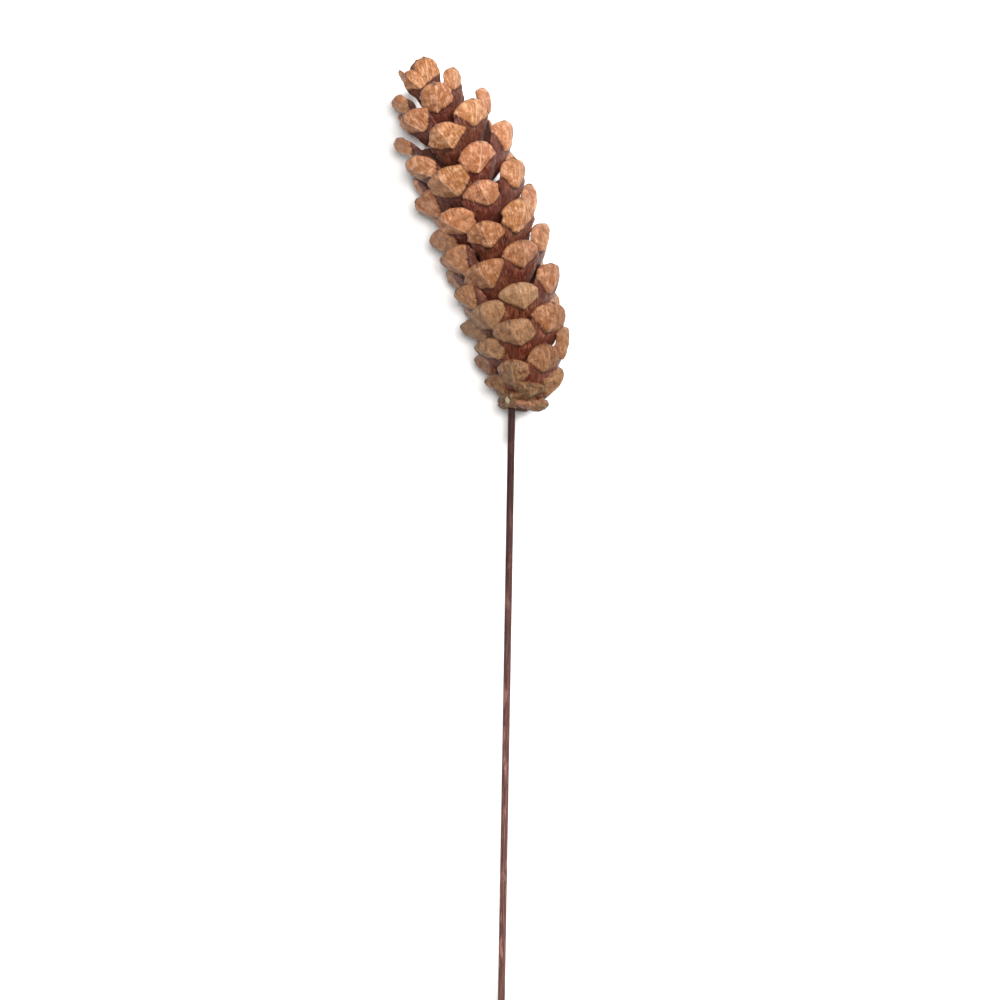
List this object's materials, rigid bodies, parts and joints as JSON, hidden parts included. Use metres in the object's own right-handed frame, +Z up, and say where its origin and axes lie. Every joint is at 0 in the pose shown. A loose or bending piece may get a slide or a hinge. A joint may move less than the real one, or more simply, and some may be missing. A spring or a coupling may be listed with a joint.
{
  "type": "pine cone",
  "caption": "Slender woody cone of spiral scales lying on its side, with a long thin dyed stick glued into its base.",
  "frame": {"origin": "middle of the space the part takes on the surface it lies on", "axes": "+Y runs from the stick's free end to the tip of the cone, +X to the right seen from above, +Z up"},
  "size_m": [0.075, 0.4484, 0.0443],
  "materials": {
    "cone": "dry tan scale ends over purplish brown shafts",
    "stem": "dyed brownish purple, matt",
    "glue": "pale dried glue"
  },
  "bodies": {
    "root": {"cone": "cone", "stem": "stem", "glue": "glue"}
  },
  "joints": []
}
